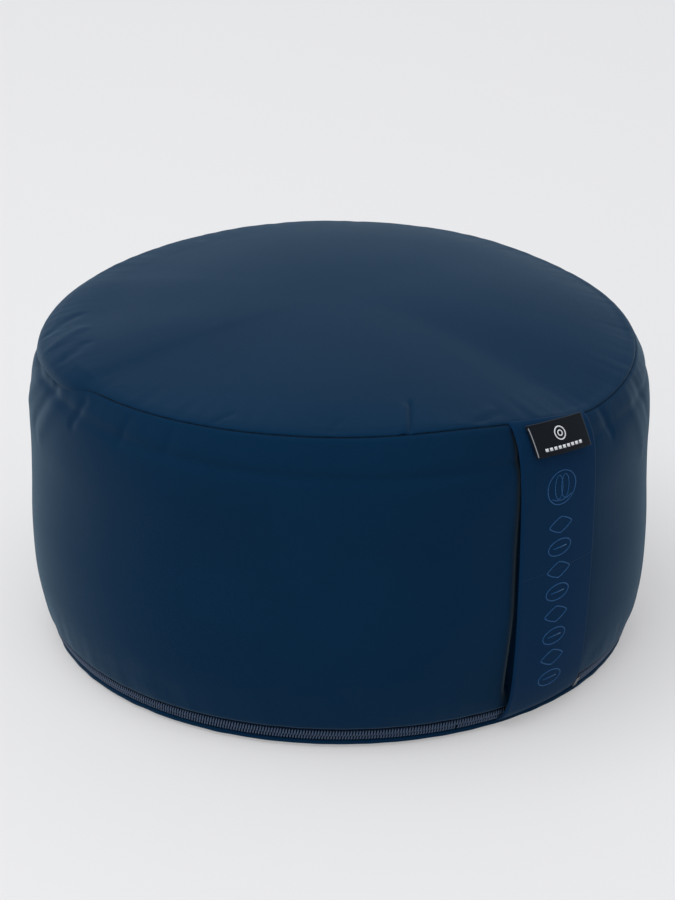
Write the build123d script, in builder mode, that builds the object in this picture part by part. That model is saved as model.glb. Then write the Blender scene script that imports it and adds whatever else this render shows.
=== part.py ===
"""Round floor cushion: zipped cotton cover with a carry strap, inner liner and hull filling.

Millimetres, +Z up. The origin is on the drum's axis in the plane that the cushion lies on.
The carry strap is centred on -Y. Angles are measured counter-clockwise from +X, seen from above.
"""

from build123d import *
from math import cos, radians, sin
import os

os.makedirs("parts", exist_ok=True)

# Drum
belly_radius = 150.9
seam_radius = 143.0
seam_height = 152.6
crown_height = 167.5
cloth = 1.0
top_edge = 0.3
allowance_width = 8.0

# Base panel and its turned-up rim
base_radius = 140.7
rim_height = 3.9
rim_bend = 3.0

# Zip round the bottom edge: its middle line, and its tilt inwards towards the floor
zip_radius = 142.7
zip_height = 6.75
zip_tilt = 25.5
coil_width = 2.6
coil_gap = 0.9
coil_thickness = 2.2
tape_thickness = 0.6
tape_width = 3.4
tape_margin = 1.6

# Where the zip parts, as angles about the axis
strap_angle = 270.0
lid_coil_margin = 20.0
coil_margin = 7.8
end_gap = 0.5
end_tape_trim = 0.5
stop_arc = 1.2
stop_inset = 1.6
stop_rise = 0.3
stop_reach = 3.0

# Zip sliders: two that meet opposite the strap. Sizes along the band, across it and through it
slider_spread = 2.6
slider_length = 10.5
slider_height = 8.4
slider_plate = 1.0
slider_clearance = 0.35
slider_web = 0.35
bridge_width = 2.4
bridge_rise = 4.3
bridge_bar = 0.8
pin_radius = 0.4
pin_lift = 2.2
arm_height = 0.8
arm_length = 7.0
tab_start = 4.6
pull_length = 22.0
pull_width = 6.2
pull_thickness = 1.0

# Carry strap
strap_width = 48.0
strap_middle = -1.5
strap_thickness = 1.6
grip_top = 133.0
grip_bottom = 30.0
part_gap = 0.3

# Raised thread figures on the strap
figure_middle = -5.0
figure_line = 0.9
figure_rise = 0.3
figure_wide = 7.5
figure_tall = 4.4
figure_pitch = 12.0
figure_first = 40.0
figure_count = 6
ring_height = 121.0
ring_radius = 9.0

# Labels
label_width = 33.0
label_high = 153.0
label_low = 138.6
label_middle = 145.0
label_thickness = 0.7
label_offset = -3.9
label_gap = 0.4
print_rise = 0.12

# Care label
care_thickness = 0.4
care_width = 30.0
care_drop = 42.0
care_radius = 146.5
care_middle = 105.0

# Liner and filling
liner_cloth = 0.8
liner_bottom = 5.2
liner_corner = 22.0
liner_slot = 8.0
liner_zip_length = 190.0
liner_coil_width = 2.0
liner_coil_gap = 0.6
liner_coil_thickness = 1.8
liner_tape_thickness = 0.3
liner_tape_width = 5.6
liner_travel = 150.0
liner_stop = 1.2
liner_plate = 0.7
liner_pull_thickness = 0.6


def half_plane(angle):
    """Plane holding the Z axis: local X points out at the angle, local Y is up."""
    out = (cos(radians(angle)), sin(radians(angle)), 0)
    across = (sin(radians(angle)), -cos(radians(angle)), 0)
    return Plane(origin=(0, 0, 0), x_dir=out, z_dir=across)


def finish(part, name):
    """Label one piece and write it under its own name."""
    part.label = name
    export_step(part, f"parts/{name}.step")


def band_point(along, through):
    """Point of the zip band: along it (up) and through it (outwards), as radius and height."""
    tilt = radians(zip_tilt)
    radius = zip_radius + along * sin(tilt) + through * cos(tilt)
    height = zip_height + along * cos(tilt) - through * sin(tilt)
    return (radius, height)


def band_outline(low, high, inner, outer):
    """Corners of a strip of the zip band, between two places along it and two depths."""
    return [
        band_point(low, inner),
        band_point(low, outer),
        band_point(high, outer),
        band_point(high, inner),
    ]


def band_ring(low, high, inner, outer, start, arc):
    """A strip of the zip band carried round the drum from the start angle."""
    with BuildPart() as ring:
        with BuildSketch(half_plane(start)):
            with BuildLine():
                Polyline(*band_outline(low, high, inner, outer), close=True)
            make_face()
        revolve(axis=Axis.Z, revolution_arc=arc)
    return ring.part


# Heights of the side's outline, from the hem over the zip to the top seam
side_outline = [
    (145.2, 11.2),
    (147.9, 19.7),
    (150.6, 39.3),
    (belly_radius, 62.0),
    (150.6, 90.0),
    (150.2, 118.0),
    (148.0, 137.6),
    (seam_radius, seam_height),
]
crown_outline = [
    (seam_radius, seam_height),
    (116.0, 159.0),
    (80.0, 164.3),
    (40.0, 166.9),
    (0.0, crown_height),
]


def inset(points, distance):
    """An outline moved inwards by a distance."""
    return [(radius - distance, height) for radius, height in points]


# Cover: side band
with BuildPart() as side_panel:
    inner_side = inset(side_outline, cloth)
    with BuildSketch(Plane.XZ):
        with BuildLine():
            Spline(*side_outline)
            Line(side_outline[-1], inner_side[-1])
            Spline(*reversed(inner_side))
            Line(inner_side[0], side_outline[0])
        make_face()
    revolve(axis=Axis.Z)
finish(side_panel.part, "side_panel")

# Cover: domed top, sewn edge to edge with the side band
with BuildPart() as top_panel:
    outer_crown = [(radius, height + top_edge) for radius, height in crown_outline]
    inner_crown = [(seam_radius, seam_height + top_edge)] + [
        (radius, height - cloth) for radius, height in outer_crown[1:]
    ]
    with BuildSketch(Plane.XZ):
        with BuildLine():
            Spline(*outer_crown, tangents=((-0.88, 0.47), (-1, 0)))
            Line(outer_crown[-1], inner_crown[-1])
            Spline(*reversed(inner_crown), tangents=((1, 0), (0.93, -0.37)))
        make_face()
    revolve(axis=Axis.Z)
finish(top_panel.part, "top_panel")

# Cover: the turned-in allowance of the top seam
with BuildPart() as top_seam_allowance:
    with BuildSketch(Plane.XZ):
        with BuildLine():
            Polyline(
                (seam_radius - 2.2, seam_height - 1.4),
                (seam_radius - 2.2 - allowance_width, seam_height - 4.4),
                (seam_radius - 2.4 - allowance_width, seam_height - 5.4),
                (seam_radius - 2.4, seam_height - 2.6),
                close=True,
            )
        make_face()
    revolve(axis=Axis.Z)
finish(top_seam_allowance.part, "top_seam_allowance")

# Base panel: a disc whose rim turns up to the zip tape
with BuildPart() as bottom_panel:
    with BuildSketch(Plane.XZ):
        with BuildLine():
            Line((0, 0), (base_radius - rim_bend, 0))
            RadiusArc((base_radius - rim_bend, 0), (base_radius, rim_bend), -rim_bend)
            Line((base_radius, rim_bend), (base_radius, rim_height))
            Line((base_radius, rim_height), (base_radius - cloth, rim_height))
            Line((base_radius - cloth, rim_height), (base_radius - cloth, rim_bend))
            RadiusArc((base_radius - cloth, rim_bend), (base_radius - rim_bend, cloth), rim_bend - cloth)
            Line((base_radius - rim_bend, cloth), (0, cloth))
            Line((0, cloth), (0, 0))
        make_face()
    revolve(axis=Axis.Z)
finish(bottom_panel.part, "bottom_panel")

# Zip: two coils on two tapes. The lower half leaves with the base panel, all but its two ends.
coil_out = coil_thickness / 2
tape_back = -coil_out - tape_thickness
lid_start = strap_angle + lid_coil_margin
lid_arc = 360.0 - 2 * lid_coil_margin
coil_start = strap_angle + coil_margin
coil_end = strap_angle - coil_margin
coil_arc = 360.0 - 2 * coil_margin
coil_near = coil_gap / 2
coil_far = coil_near + coil_width

zip_coil_lower = band_ring(-coil_far, -coil_near, -coil_out, coil_out, lid_start, lid_arc)
finish(zip_coil_lower, "zip_coil_lower")
zip_tape_lower = band_ring(-tape_width, -coil_near, tape_back, -coil_out, lid_start, lid_arc)
finish(zip_tape_lower, "zip_tape_lower")
zip_coil_upper = band_ring(coil_near, coil_far, -coil_out, coil_out, coil_start, coil_arc)
finish(zip_coil_upper, "zip_coil_upper")
zip_tape_upper = band_ring(coil_near, coil_far + tape_margin, tape_back, -coil_out, 0, 360)
finish(zip_tape_upper, "zip_tape_upper")

# The lower coil's two ends and their tape stay with the cover, beside the strap
closed_arc = lid_start - end_gap - coil_start
open_start = strap_angle - lid_coil_margin + end_gap
open_arc = coil_end - open_start
end_low = -tape_width + end_tape_trim
with BuildPart() as zip_coil_ends:
    add(band_ring(-coil_far, -coil_near, -coil_out, coil_out, coil_start, closed_arc))
    add(band_ring(-coil_far, -coil_near, -coil_out, coil_out, open_start, open_arc))
finish(zip_coil_ends.part, "zip_coil_ends")
hinge_arc = 2 * lid_coil_margin - 2 * end_gap
zip_tape_ends = band_ring(end_low, -coil_near, tape_back, -coil_out, open_start, hinge_arc)
finish(zip_tape_ends, "zip_tape_ends")

# Stops across both coils, where the zip ends at each edge of the strap
stop_out = coil_out + stop_rise
with BuildPart() as zip_end_stops:
    for stop_start in (coil_end - stop_inset, coil_start + stop_inset - stop_arc):
        add(band_ring(-stop_reach, stop_reach, coil_out, stop_out, stop_start, stop_arc))
finish(zip_end_stops.part, "zip_end_stops")


def slider_plane(angle):
    """Plane in the band's face at the angle: local X runs round the drum, local Y up the band."""
    tilt = radians(zip_tilt)
    out = Vector(cos(radians(angle)), sin(radians(angle)), 0)
    normal = out * cos(tilt) - Vector(0, 0, sin(tilt))
    round_drum = Vector(-sin(radians(angle)), cos(radians(angle)), 0)
    middle = out * zip_radius + Vector(0, 0, zip_height)
    return Plane(origin=middle, x_dir=round_drum, z_dir=normal)


plate_out = coil_out + slider_clearance
plate_in = tape_back - slider_clearance - 0.1
bridge_foot = plate_out + slider_plate
bridge_top = bridge_foot + bridge_rise


def make_slider(angle, side):
    """A slider: two plates joined by a web that runs between the coils."""
    place = slider_plane(angle)
    with BuildPart() as slider:
        with BuildSketch(place.offset(plate_out)):
            RectangleRounded(slider_length, slider_height, 2.4)
        extrude(amount=slider_plate)
        with BuildSketch(place.offset(plate_in)):
            RectangleRounded(slider_length, slider_height - 1.2, 2.2)
        extrude(amount=-slider_plate)
        with BuildSketch(place.offset(plate_in - 0.2)):
            with Locations((side * (slider_length / 2 - 3.2), 0)):
                Rectangle(3.6, slider_web)
        extrude(amount=plate_out - plate_in + 0.4)
    return slider.part


def make_bridge(angle):
    """The slider's bridge: an arch along its travel, which holds the pull."""
    place = slider_plane(angle)
    arch_outside = [(-3.6, bridge_foot), (-3.6, bridge_foot + 2.4), (-2.4, bridge_top)]
    arch_inside = [(-2.6, bridge_foot), (-2.6, bridge_foot + 2.2), (-1.9, bridge_top - bridge_bar)]
    outer = arch_outside + [(-x, y) for x, y in reversed(arch_outside)]
    inner = arch_inside + [(-x, y) for x, y in reversed(arch_inside)]
    lying = Plane(origin=place.origin, x_dir=place.x_dir, z_dir=-place.y_dir)
    with BuildPart() as bridge:
        with BuildSketch(lying.offset(-bridge_width / 2)):
            with BuildLine():
                Polyline(*outer, *reversed(inner), close=True)
            make_face()
        extrude(amount=bridge_width)
    return bridge.part


def make_pull(angle, side):
    """The pull: its pin stands upright in the arch, and two arms carry a flat tab round it."""
    place = slider_plane(angle)
    pin = place.origin + place.z_dir * (bridge_foot + pin_lift)
    outward = Vector(cos(radians(angle)), sin(radians(angle)), 0)
    face = Plane(origin=pin, x_dir=place.x_dir * side, z_dir=outward)
    floor = Plane(origin=pin, x_dir=outward, z_dir=(0, 0, 1))
    arm_place = (pull_width - arm_height) / 2
    with BuildPart() as pull:
        with BuildSketch(floor.offset(-pull_width / 2)):
            Circle(pin_radius)
        extrude(amount=pull_width)
        with BuildSketch(face.offset(-pin_radius)):
            with Locations((arm_length / 2, arm_place), (arm_length / 2, -arm_place)):
                Rectangle(arm_length, arm_height)
        extrude(amount=2 * pin_radius)
        with BuildSketch(face.offset(-pull_thickness / 2)):
            with Locations(((pull_length + tab_start) / 2, 0)):
                RectangleRounded(pull_length - tab_start, pull_width, 2.0)
            with Locations((pull_length - 4.5, 0)):
                SlotOverall(4.6, 2.2, mode=Mode.SUBTRACT)
        extrude(amount=pull_thickness)
    return pull.part


slider_meeting = strap_angle - 180.0
for hand, side in (("left", 1), ("right", -1)):
    slider_angle = slider_meeting + side * slider_spread
    finish(make_slider(slider_angle, side), f"zip_slider_{hand}")
    finish(make_bridge(slider_angle), f"zip_bridge_{hand}")
    finish(make_pull(slider_angle, side), f"zip_pull_{hand}")


def strap_face(offset):
    """The strap's line down the side, moved outwards, as distances towards -Y and heights."""
    return [
        (142.7 + offset, 153.4),
        (148.1 + offset, 147.5),
        (150.7 + offset, 136.0),
        (151.7 + offset, 124.0),
        (152.3 + offset, 95.0),
        (152.5 + offset, 60.0),
        (151.5 + offset, 30.0),
        (148.7 + offset, 15.5),
        (145.9 + offset, 6.0),
        (143.7 + offset, 2.2),
    ]


def strap_layer(low, high, depths, width, middle=0.0):
    """A layer that follows the strap between two heights and two depths, centred on middle."""
    inner = [(-distance, height) for distance, height in strap_face(depths[0])]
    outer = [(-distance, height) for distance, height in strap_face(depths[1])]
    with BuildPart() as layer:
        with BuildSketch(Plane.YZ.offset(middle - width / 2)):
            with BuildLine():
                Spline(*inner)
                Line(inner[-1], outer[-1])
                Spline(*reversed(outer))
                Line(outer[0], inner[0])
            make_face()
        extrude(amount=width)
        split(bisect_by=Plane.XY.offset(high), keep=Keep.BOTTOM)
        split(bisect_by=Plane.XY.offset(low), keep=Keep.TOP)
    return layer.part


strap_depths = (0, strap_thickness)
strap_parts = (
    ("strap_top_end", grip_top + part_gap, 200.0),
    ("strap_grip", grip_bottom, grip_top),
    ("strap_bottom_end", 0.0, grip_bottom - part_gap),
)
for strap_name, low, high in strap_parts:
    finish(strap_layer(low, high, strap_depths, strap_width, strap_middle), strap_name)

# Raised thread figures down the strap's free stretch: a ring, then outlines of two kinds in turn
figure_depths = (strap_thickness, strap_thickness + figure_rise)
figure_short = figure_wide - figure_line
figure_low = figure_tall - figure_line
with BuildPart() as strap_motif:
    add(strap_layer(grip_bottom + 2, grip_top - 2, figure_depths, 2 * figure_wide + 4, figure_middle))
    with BuildSketch(Plane.XZ.offset(140.0)):
        with Locations((figure_middle, ring_height)):
            Circle(ring_radius)
            Circle(ring_radius - figure_line, mode=Mode.SUBTRACT)
            Circle(ring_radius / 2)
            Circle(ring_radius / 2 - figure_line, mode=Mode.SUBTRACT)
        for number in range(figure_count):
            with Locations((figure_middle, figure_first + number * figure_pitch)):
                if number % 2:
                    Ellipse(figure_wide, figure_tall)
                    Ellipse(figure_short, figure_low, mode=Mode.SUBTRACT)
                else:
                    Rectangle(2 * figure_wide, 2 * figure_tall)
                    Rectangle(2 * figure_short, 2 * figure_low, mode=Mode.SUBTRACT)
    extrude(amount=20.0, mode=Mode.INTERSECT)
finish(strap_motif.part, "strap_motif")

# Woven side label, folded double, caught in the top seam over the strap
label_back = strap_thickness + label_gap
label_depths = (label_back, label_back + label_thickness)
finish(strap_layer(label_low, label_high, label_depths, label_width, label_offset), "side_label")

print_depths = (label_depths[1], label_depths[1] + print_rise)
with BuildPart() as label_motif:
    add(strap_layer(label_low + 1, label_high - 1, print_depths, label_width - 2, label_offset))
    with BuildSketch(Plane.XZ.offset(140.0)):
        with Locations((label_offset - 9.5, label_middle)):
            Circle(3.2)
            Circle(2.6, mode=Mode.SUBTRACT)
            Circle(1.1)
        with Locations((label_offset + 4.0, label_middle + 1.4), (label_offset + 4.0, label_middle - 1.4)):
            Rectangle(14.0, 0.8)
    extrude(amount=20.0, mode=Mode.INTERSECT)
finish(label_motif.part, "label_motif")

# Blank care label inside the cover, under the top seam
with BuildPart() as care_label:
    with BuildSketch(half_plane(strap_angle - 90).offset(-care_width / 2)):
        with Locations((care_radius, care_middle)):
            Rectangle(care_thickness, care_drop)
    extrude(amount=care_width)
finish(care_label.part, "care_label")

# Liner: a second closed drum inside the cover
liner_outline = [
    (144.2, 40.0),
    (144.8, 62.0),
    (144.6, 90.0),
    (144.0, 118.0),
    (140.4, 137.0),
    (133.0, 146.0),
]
liner_floor_radius = 141.0 - liner_corner
liner_crown = [
    (133.0, 146.0),
    (116.0, 152.6),
    (80.0, 159.6),
    (40.0, 163.2),
    (0.0, 164.4),
]


def side_curve(points, inset_by):
    """Liner's side as points, with its rounded bottom corner, moved inwards."""
    corner = [
        (liner_floor_radius, liner_bottom + inset_by),
        (133.0 - inset_by, liner_bottom + 7.4),
        (141.2 - inset_by, 21.0),
    ]
    return corner + [(radius - inset_by, height) for radius, height in points]


with BuildPart() as liner_side_panel:
    outer_liner = side_curve(liner_outline, 0)
    inner_liner = side_curve(liner_outline, liner_cloth)
    with BuildSketch(Plane.XZ):
        with BuildLine():
            Spline(*outer_liner)
            Line(outer_liner[-1], inner_liner[-1])
            Spline(*reversed(inner_liner))
            Line(inner_liner[0], outer_liner[0])
        make_face()
    revolve(axis=Axis.Z)
finish(liner_side_panel.part, "liner_side_panel")

with BuildPart() as liner_top_panel:
    outer_top = [(radius, height + liner_cloth + 0.2) for radius, height in liner_crown]
    inner_top = [(radius, height - liner_cloth) for radius, height in outer_top]
    with BuildSketch(Plane.XZ):
        with BuildLine():
            Spline(*outer_top)
            Line(outer_top[-1], inner_top[-1])
            Spline(*reversed(inner_top))
            Line(inner_top[0], outer_top[0])
        make_face()
    revolve(axis=Axis.Z)
finish(liner_top_panel.part, "liner_top_panel")

with BuildPart() as liner_bottom_panel:
    with BuildSketch(Plane.XY.offset(liner_bottom)):
        Circle(liner_floor_radius - 0.2)
        SlotOverall(liner_zip_length, liner_slot, mode=Mode.SUBTRACT)
    extrude(amount=liner_cloth)
finish(liner_bottom_panel.part, "liner_bottom_panel")

# Liner zip: straight, across the middle of the liner's underside
coil_y = liner_coil_gap / 2 + liner_coil_width / 2
tape_y = liner_coil_gap / 2 + liner_tape_width / 2
with BuildPart() as liner_zip_tapes:
    with BuildSketch(Plane.XY.offset(liner_bottom)):
        with Locations((0, tape_y), (0, -tape_y)):
            Rectangle(liner_zip_length, liner_tape_width)
    extrude(amount=-liner_tape_thickness)
finish(liner_zip_tapes.part, "liner_zip_tapes")

liner_coil_top = liner_bottom - liner_tape_thickness
with BuildPart() as liner_zip_coils:
    with BuildSketch(Plane.XY.offset(liner_coil_top)):
        with Locations((0, coil_y), (0, -coil_y)):
            Rectangle(liner_zip_length - 10.0, liner_coil_width)
    extrude(amount=-liner_coil_thickness)
finish(liner_zip_coils.part, "liner_zip_coils")

stop_place = liner_zip_length / 2 - 4.2
with BuildPart() as liner_zip_stops:
    with BuildSketch(Plane.XY.offset(liner_coil_top)):
        with Locations((-stop_place, 0), (stop_place, 0)):
            Rectangle(liner_stop, 2 * liner_coil_width + liner_coil_gap)
    extrude(amount=-liner_coil_thickness)
finish(liner_zip_stops.part, "liner_zip_stops")

# Liner zip slider, closed at the -X end, with its pull lying flat under it
liner_slider_x = -liner_travel / 2
coil_bottom = liner_coil_top - liner_coil_thickness
lower_plate = coil_bottom - 0.2
upper_plate = liner_bottom + 0.25
with BuildPart() as liner_zip_slider:
    with BuildSketch(Plane.XY.offset(lower_plate)):
        with Locations((liner_slider_x, 0)):
            RectangleRounded(9.0, 7.0, 1.6)
    extrude(amount=-liner_plate)
    with BuildSketch(Plane.XY.offset(upper_plate)):
        with Locations((liner_slider_x, 0)):
            RectangleRounded(9.0, 6.0, 1.6)
    extrude(amount=liner_plate)
    with BuildSketch(Plane.XY.offset(lower_plate - 0.1)):
        with Locations((liner_slider_x, 0)):
            Rectangle(3.0, 0.3)
    extrude(amount=upper_plate - lower_plate + 0.2)
finish(liner_zip_slider.part, "liner_zip_slider")

pull_top = lower_plate - liner_plate
with BuildPart() as liner_zip_pull:
    with BuildSketch(Plane.XY.offset(pull_top)):
        with Locations((liner_slider_x + 8.0, 0)):
            RectangleRounded(19.0, 4.5, 1.8)
        with Locations((liner_slider_x + 13.5, 0)):
            Circle(1.2, mode=Mode.SUBTRACT)
    extrude(amount=-liner_pull_thickness)
finish(liner_zip_pull.part, "liner_zip_pull")

# Hull filling, packed tight in the liner
fill_gap = liner_cloth + 0.4
with BuildPart() as hull_fill:
    fill_side = side_curve(liner_outline, fill_gap)
    fill_floor = liner_bottom + 1.8
    fill_top = [(radius * 0.985, height - 1.4) for radius, height in liner_crown]
    with BuildSketch(Plane.XZ):
        with BuildLine():
            Line((0, fill_floor), (liner_floor_radius, fill_floor))
            Spline((liner_floor_radius, fill_floor), *fill_side[1:-1], fill_top[0])
            Spline(*fill_top)
            Line(fill_top[-1], (0, fill_floor))
        make_face()
    revolve(axis=Axis.Z)
finish(hull_fill.part, "hull_fill")
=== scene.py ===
"""Round floor cushion: the looks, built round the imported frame.

Metres, +Z up, origin at the middle of the base. The carry strap faces -Y. "Bearing" is the angle round
the drum in degrees, measured from the side that faces the camera, towards the camera's right.
"""
import math

import bpy
import numpy as np
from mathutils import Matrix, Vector


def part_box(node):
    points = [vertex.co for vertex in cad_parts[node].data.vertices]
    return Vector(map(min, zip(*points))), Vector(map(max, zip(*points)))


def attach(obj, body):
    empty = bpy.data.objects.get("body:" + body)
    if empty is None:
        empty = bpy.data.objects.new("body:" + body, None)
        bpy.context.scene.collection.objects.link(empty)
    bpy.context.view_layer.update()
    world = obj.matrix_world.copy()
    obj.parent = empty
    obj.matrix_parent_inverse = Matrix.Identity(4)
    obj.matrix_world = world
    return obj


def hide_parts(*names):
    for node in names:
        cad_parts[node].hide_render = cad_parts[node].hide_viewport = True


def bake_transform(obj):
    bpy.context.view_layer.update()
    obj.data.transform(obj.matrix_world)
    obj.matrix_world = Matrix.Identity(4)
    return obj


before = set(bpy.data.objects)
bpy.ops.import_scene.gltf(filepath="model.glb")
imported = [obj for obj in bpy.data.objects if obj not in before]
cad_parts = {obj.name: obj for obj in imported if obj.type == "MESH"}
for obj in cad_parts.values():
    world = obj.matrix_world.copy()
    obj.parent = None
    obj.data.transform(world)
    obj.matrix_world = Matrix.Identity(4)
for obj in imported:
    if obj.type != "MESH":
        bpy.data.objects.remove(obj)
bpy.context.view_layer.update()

MM = 0.001
TAU = 2 * math.pi

# ---------------------------------------------------------------- where the camera stands
CAMERA_AZIMUTH = -42.3
CAMERA_ELEVATION = 24.37
CAMERA_DISTANCE = 1.501
CAMERA_LENS = 122.3
TARGET_HEIGHT = 0.0859
TARGET_SIDE = -0.00134
FRONT_ANGLE = math.radians(CAMERA_AZIMUTH - 90)
STRAP_BEARING = -CAMERA_AZIMUTH

# ---------------------------------------------------------------- the drum, in mm and degrees of bearing
SEAM_R = 142.6              # radius of the top seam
SEAM_Z = 155.4              # its height in front
BELLY_R = 150.0             # radius of the side band, near enough for lengths of cloth round it
DEGREE = 2.6                # length of one degree of bearing at the belly
CROWN_Z = 167.6             # height of the top's middle
CROWN_POWER = 2.5           # 2 is a parabola, and more keeps the top flat for longer
CLOTH = 1.0                 # thickness of the cover's cloth
STRAP_CRACK = 34.3          # bearing of the crack that the strap's left edge lies over, at the top
HIDDEN_SEAM = (-116.0, -56.0)   # bearings between which the top seam is lost under slack cloth
SHOULDER_BEARING = -96.0    # bearing where the filling pushes the top's edge up
SHOULDER_RISE = 2.0         # by how much

# The top seam's height round the drum, as (bearing, height)
SEAM_LINE = [
    (-150, 151.6), (-130, 149.9), (-108, 147.0), (-90, 147.6), (-68, 152.6), (-45, 154.6), (-20, 155.4),
    (0, 155.9), (22, 155.2), (38, 150.4), (53, 144.0), (75, 144.2), (108, 146.0), (130, 147.6), (155, 151.2),
    (180, 152.5),
]

# How finely the cover is meshed
SIDE_ROWS = 150
TOP_ROWS = 84
COLUMNS = 900


def camera():
    """The camera, at the angle and distance of a product picture."""
    azimuth = math.radians(CAMERA_AZIMUTH)
    elevation = math.radians(CAMERA_ELEVATION)
    back = Vector((
        math.sin(azimuth) * math.cos(elevation),
        -math.cos(azimuth) * math.cos(elevation),
        math.sin(elevation),
    ))
    right = Vector((math.cos(azimuth), math.sin(azimuth), 0))
    target = right * TARGET_SIDE + Vector((0, 0, TARGET_HEIGHT))
    data = bpy.data.cameras.new("camera")
    data.lens = CAMERA_LENS
    data.sensor_width = 36.0
    data.clip_start = 0.05
    data.clip_end = 60.0
    piece = bpy.data.objects.new("camera", data)
    piece.location = target + back * CAMERA_DISTANCE
    piece.rotation_euler = back.to_track_quat("Z", "Y").to_euler()
    bpy.context.collection.objects.link(piece)
    bpy.context.scene.camera = piece


# ---------------------------------------------------------------- mesh helpers
def new_object(name, verts, faces, smooth=True):
    """A mesh object in the scene."""
    mesh = bpy.data.meshes.new(name)
    mesh.from_pydata([tuple(v) for v in verts], [], faces)
    mesh.validate()
    mesh.update()
    mesh.polygons.foreach_set("use_smooth", [smooth] * len(mesh.polygons))
    piece = bpy.data.objects.new(name, mesh)
    bpy.context.collection.objects.link(piece)
    return piece


def weave_map(piece, uv):
    """A UV map in metres of cloth, one place per vertex of the mesh."""
    layer = piece.data.uv_layers.new(name="Weave")
    corners = np.empty(len(piece.data.loops), dtype=np.int32)
    piece.data.loops.foreach_get("vertex_index", corners)
    layer.data.foreach_set("uv", uv[corners].astype(np.float32).ravel())


def shell(name, outer, inner, uv, round_drum=True):
    """A closed sheet between two grids of points. Grids are rows x columns x 3.

    Round the drum, the last column meets the first, and a row of no radius closes to a point.
    """
    rows, columns = outer.shape[:2]
    verts = np.concatenate([outer.reshape(-1, 3), inner.reshape(-1, 3)])
    half = rows * columns
    index = np.arange(half).reshape(rows, columns)
    wrap = columns if round_drum else columns - 1
    faces = []
    for row in range(rows - 1):
        for column in range(wrap):
            after = (column + 1) % columns
            a, b = index[row, column], index[row, after]
            c, d = index[row + 1, after], index[row + 1, column]
            faces.append((a, b, c, d))
            faces.append((half + d, half + c, half + b, half + a))
    for column in range(wrap):
        after = (column + 1) % columns
        a, b = index[0, column], index[0, after]
        faces.append((b, a, half + a, half + b))
        c, d = index[-1, column], index[-1, after]
        faces.append((c, d, half + d, half + c))
    if not round_drum:
        for row in range(rows - 1):
            a, b = index[row, 0], index[row + 1, 0]
            faces.append((a, b, half + b, half + a))
            c, d = index[row, -1], index[row + 1, -1]
            faces.append((d, c, half + c, half + d))
    piece = new_object(name, verts, [tuple(int(i) for i in f) for f in faces])
    weave_map(piece, np.concatenate([uv.reshape(-1, 2)] * 2))
    walls = 2 * (rows - 1) * wrap
    for polygon in piece.data.polygons[walls:]:
        polygon.use_smooth = False
    return piece


def filled(name, grid):
    """A closed solid from one grid of rows round an axis, its two end rows closed over."""
    rows, columns = grid.shape[:2]
    index = np.arange(rows * columns).reshape(rows, columns)
    faces = [tuple(int(i) for i in index[0]), tuple(int(i) for i in index[-1][::-1])]
    for row in range(rows - 1):
        for column in range(columns):
            after = (column + 1) % columns
            ring = (index[row, column], index[row + 1, column], index[row + 1, after], index[row, after])
            faces.append(tuple(int(i) for i in ring))
    return new_object(name, grid.reshape(-1, 3), faces)


def bump_at(value, middle, spread):
    """A smooth hump of height 1."""
    return np.exp(-(((value - middle) / spread) ** 2) / 2)


def ramp(value, start, end):
    """0 up to the start, 1 from the end on, and straight between."""
    return np.clip((value - start) / (end - start), 0, 1)


def on_drum(radius, angle, height):
    """Points at radii, angles and heights, which are grids or fit each other as rows and columns."""
    return np.stack(np.broadcast_arrays(radius * np.cos(angle), radius * np.sin(angle), height), axis=-1)


def wrapped(bearing):
    """Bearings brought to -180..180."""
    return (bearing + 180.0) % 360.0 - 180.0


def spline(points, count):
    """Points spaced evenly along a smooth curve through a few given ones."""
    points = np.asarray(points, float)
    steps = np.linalg.norm(np.diff(points, axis=0), axis=1)
    at = np.concatenate([[0], np.cumsum(steps)])
    slopes = np.empty_like(points)
    slopes[1:-1] = (points[2:] - points[:-2]) / (at[2:] - at[:-2])[:, None]
    slopes[0] = (points[1] - points[0]) / steps[0]
    slopes[-1] = (points[-1] - points[-2]) / steps[-1]
    place = np.linspace(0, at[-1], count)
    cell = np.clip(np.searchsorted(at, place, side="right") - 1, 0, len(steps) - 1)
    width = steps[cell][:, None]
    t = ((place - at[cell]) / steps[cell])[:, None]
    first = points[cell] * (2 * t**3 - 3 * t**2 + 1) + slopes[cell] * width * (t**3 - 2 * t**2 + t)
    second = points[cell + 1] * (3 * t**2 - 2 * t**3) + slopes[cell + 1] * width * (t**3 - t**2)
    return first + second


def waves(bearing, seed, low, high, count):
    """A sum of a few waves round the drum, of height about 1, the same on every run."""
    random = np.random.default_rng(seed)
    total = np.zeros_like(bearing)
    for _ in range(count):
        turns = random.integers(low, high)
        total = total + np.sin(np.radians(bearing) * turns + random.uniform(0, TAU))
    return total / math.sqrt(count)


# ---------------------------------------------------------------- the cover's shape
def seam_height(bearing):
    """Height of the top seam in mm: nearly level in front, and pulled down at the strap and the far left."""
    start = [(b - 360, z) for b, z in SEAM_LINE[-3:]]
    end = [(b + 360, z) for b, z in SEAM_LINE[:3]]
    line = spline(start + SEAM_LINE + end, 1200)
    return np.interp(wrapped(bearing), line[:, 0], line[:, 1]) + 0.25 * waves(bearing, 4, 3, 9, 4)


def hidden_share(bearing):
    """1 where the seam is lost under the cloth, at the far left, and 0 elsewhere."""
    b = wrapped(bearing)
    rise = 1 / (1 + np.exp(-(b - HIDDEN_SEAM[0]) / 2.5))
    return rise / (1 + np.exp((b - HIDDEN_SEAM[1]) / 1.6))


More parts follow.
